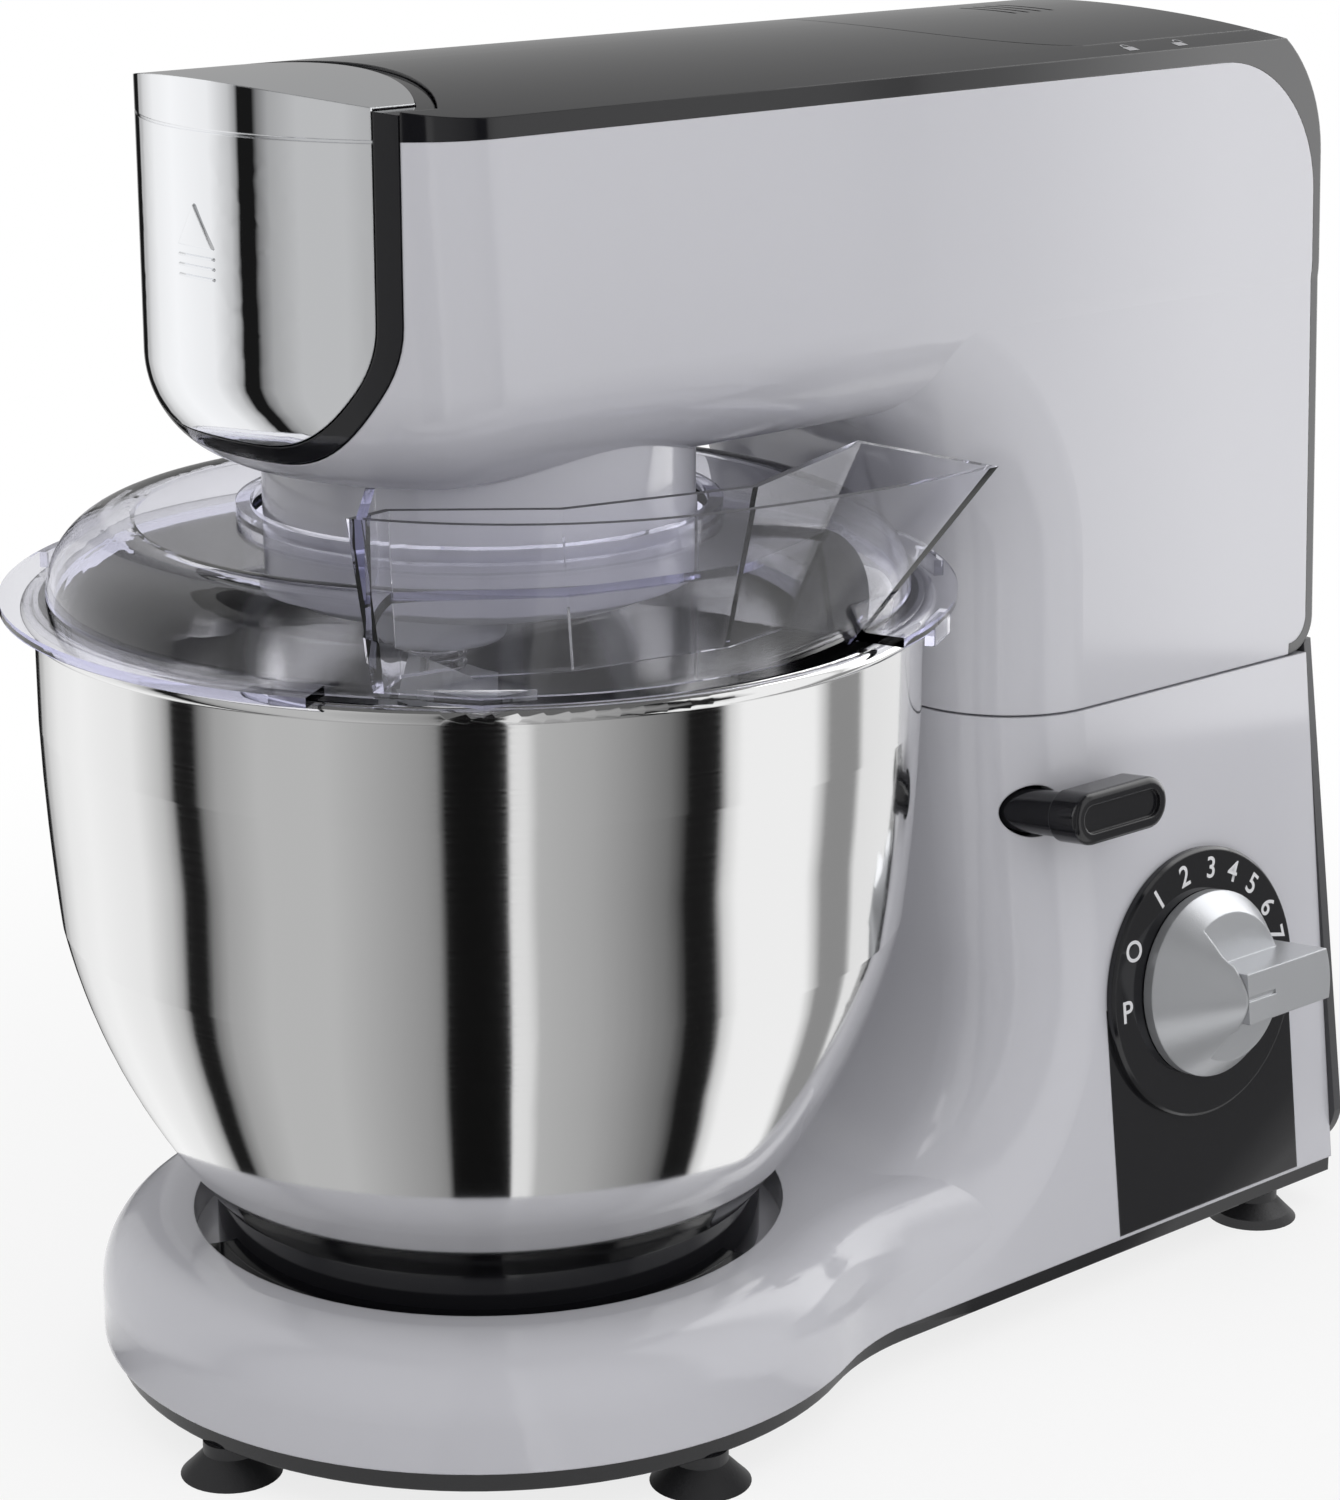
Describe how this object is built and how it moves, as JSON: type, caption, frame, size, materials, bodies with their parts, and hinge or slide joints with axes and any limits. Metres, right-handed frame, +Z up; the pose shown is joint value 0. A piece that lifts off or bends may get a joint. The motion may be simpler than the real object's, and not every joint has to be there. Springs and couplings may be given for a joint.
{
  "type": "stand mixer",
  "caption": "White stand mixer with a tilting head, chrome nose cap, black top cover, steel bowl, clear splash lid with pouring chute, and a side speed dial.",
  "frame": {"origin": "on the lip of the front suction foot, in the head's mid plane", "axes": "-Y to the nose, +X to the speed dial, +Z up"},
  "size_m": [0.2346, 0.3644, 0.3385],
  "materials": {
    "white_gloss": "glossy moulded cool white",
    "black_gloss": "glossy moulded black",
    "dark_grey": "fine matte dark grey",
    "chrome": "bright chrome",
    "polished_steel": "polished stainless steel",
    "bright_steel": "machined steel",
    "clear_plastic": "clear moulded plastic with a faint violet edge",
    "satin_silver": "satin silver paint",
    "black_rubber": "soft black rubber",
    "light_grey": "light grey coated casting",
    "gear_nylon": "natural nylon",
    "copper": "enamelled copper",
    "circuit_board": "green circuit board",
    "laminations": "stamped steel"
  },
  "bodies": {
    "base": {"base_shell": "white_gloss", "bottom_plate": "black_gloss", "suction_feet": "black_rubber", "rear_panel": "dark_grey", "cable_gland": "black_rubber", "control_strip": "black_gloss", "dial_ring": "black_gloss", "base_knuckle": "bright_steel", "hinge_pin": "bright_steel", "speed_switch": "dark_grey", "control_board": "circuit_board"},
    "head": {"head_shell": "white_gloss", "top_cover": "black_gloss", "front_band": "black_gloss", "outlet_collar": "dark_grey", "gearbox_plate": "laminations", "ring_gear": "bright_steel", "stator": "laminations", "field_coils": "copper", "lower_bracket": "dark_grey", "upper_bracket": "dark_grey", "brush_boxes": "copper", "drive_belt": "black_rubber", "head_knuckles": "bright_steel", "latch_striker": "bright_steel"},
    "cap": {"front_cap": "chrome"},
    "hatch": {"outlet_cover": "black_gloss"},
    "rotor": {"armature": "laminations", "motor_shaft": "bright_steel", "commutator": "copper", "motor_fan": "dark_grey", "motor_pulley": "bright_steel", "outlet_coupling": "dark_grey"},
    "lay": {"large_pulley": "gear_nylon", "lay_pinion": "bright_steel", "lay_shaft": "bright_steel"},
    "carrier": {"main_shaft": "bright_steel", "main_gear": "gear_nylon", "planet_hub": "light_grey", "bevel_drive": "bright_steel"},
    "outlet": {"bevel_driven": "bright_steel", "outlet_shaft": "bright_steel"},
    "tool": {"spindle": "bright_steel", "planet_pinion": "bright_steel", "drive_pin": "bright_steel", "spindle_spring": "bright_steel", "beater": "light_grey"},
    "lid": {"lid": "clear_plastic", "pouring_chute": "clear_plastic"},
    "bowl": {"bowl": "polished_steel", "bowl_base": "black_gloss"},
    "knob": {"speed_knob": "satin_silver", "knob_shaft": "bright_steel"},
    "lever": {"release_lever": "black_gloss", "latch_cam": "gear_nylon"}
  },
  "joints": [
    {"name": "head_tilt", "type": "hinge", "parent": "base", "child": "head", "pos_m": [0, 0.327, 0.172], "axis": [-1, 0, 0], "range_deg": [0, 45]},
    {"name": "cap_slide", "type": "slide", "parent": "head", "child": "cap", "axis": [0, 0, 1], "range_m": [0, 0.04]},
    {"name": "hatch_slide", "type": "slide", "parent": "head", "child": "hatch", "axis": [0, 1, 0], "range_m": [0, 0.018]},
    {"name": "carrier_spin", "type": "hinge", "parent": "head", "child": "carrier", "pos_m": [0, 0.091, 0.206], "axis": [0, 0, 1], "continuous": true},
    {"name": "tool_spin", "type": "hinge", "parent": "carrier", "child": "tool", "pos_m": [0.01151, 0.06791, 0.19], "axis": [0, 0, 1], "continuous": true},
    {"name": "lay_spin", "type": "hinge", "parent": "head", "child": "lay", "pos_m": [0, 0.13537, 0.26], "axis": [0, 0, 1], "continuous": true},
    {"name": "motor_spin", "type": "hinge", "parent": "head", "child": "rotor", "pos_m": [0, 0.277, 0.22], "axis": [0, 0, 1], "continuous": true},
    {"name": "outlet_spin", "type": "hinge", "parent": "head", "child": "outlet", "pos_m": [0, 0.051, 0.289], "axis": [0, -1, 0], "continuous": true},
    {"name": "lid_twist", "type": "hinge", "parent": "head", "child": "lid", "pos_m": [0, 0.091, 0.215], "axis": [0, 0, -1], "range_deg": [0, 20]},
    {"name": "bowl_twist", "type": "hinge", "parent": "base", "child": "bowl", "pos_m": [0, 0.091, 0.045], "axis": [0, 0, 1], "range_deg": [0, 25]},
    {"name": "knob_turn", "type": "hinge", "parent": "base", "child": "knob", "pos_m": [0.07666, 0.281, 0.079], "axis": [0.9926, 0, 0.1215], "range_deg": [-158, 30]},
    {"name": "lever_turn", "type": "hinge", "parent": "base", "child": "lever", "pos_m": [0.06956, 0.2256, 0.137], "axis": [0.9926, 0, 0.1215], "range_deg": [0, 40], "stiffness_Nm_per_rad": 0.4}
  ],
  "couplings": [
    {"joint": "tool_spin", "follows": "carrier_spin", "ratio": -3.5294},
    {"joint": "lay_spin", "follows": "carrier_spin", "ratio": -3.7333},
    {"joint": "motor_spin", "follows": "carrier_spin", "ratio": -10.37},
    {"joint": "outlet_spin", "follows": "carrier_spin", "ratio": 1}
  ]
}
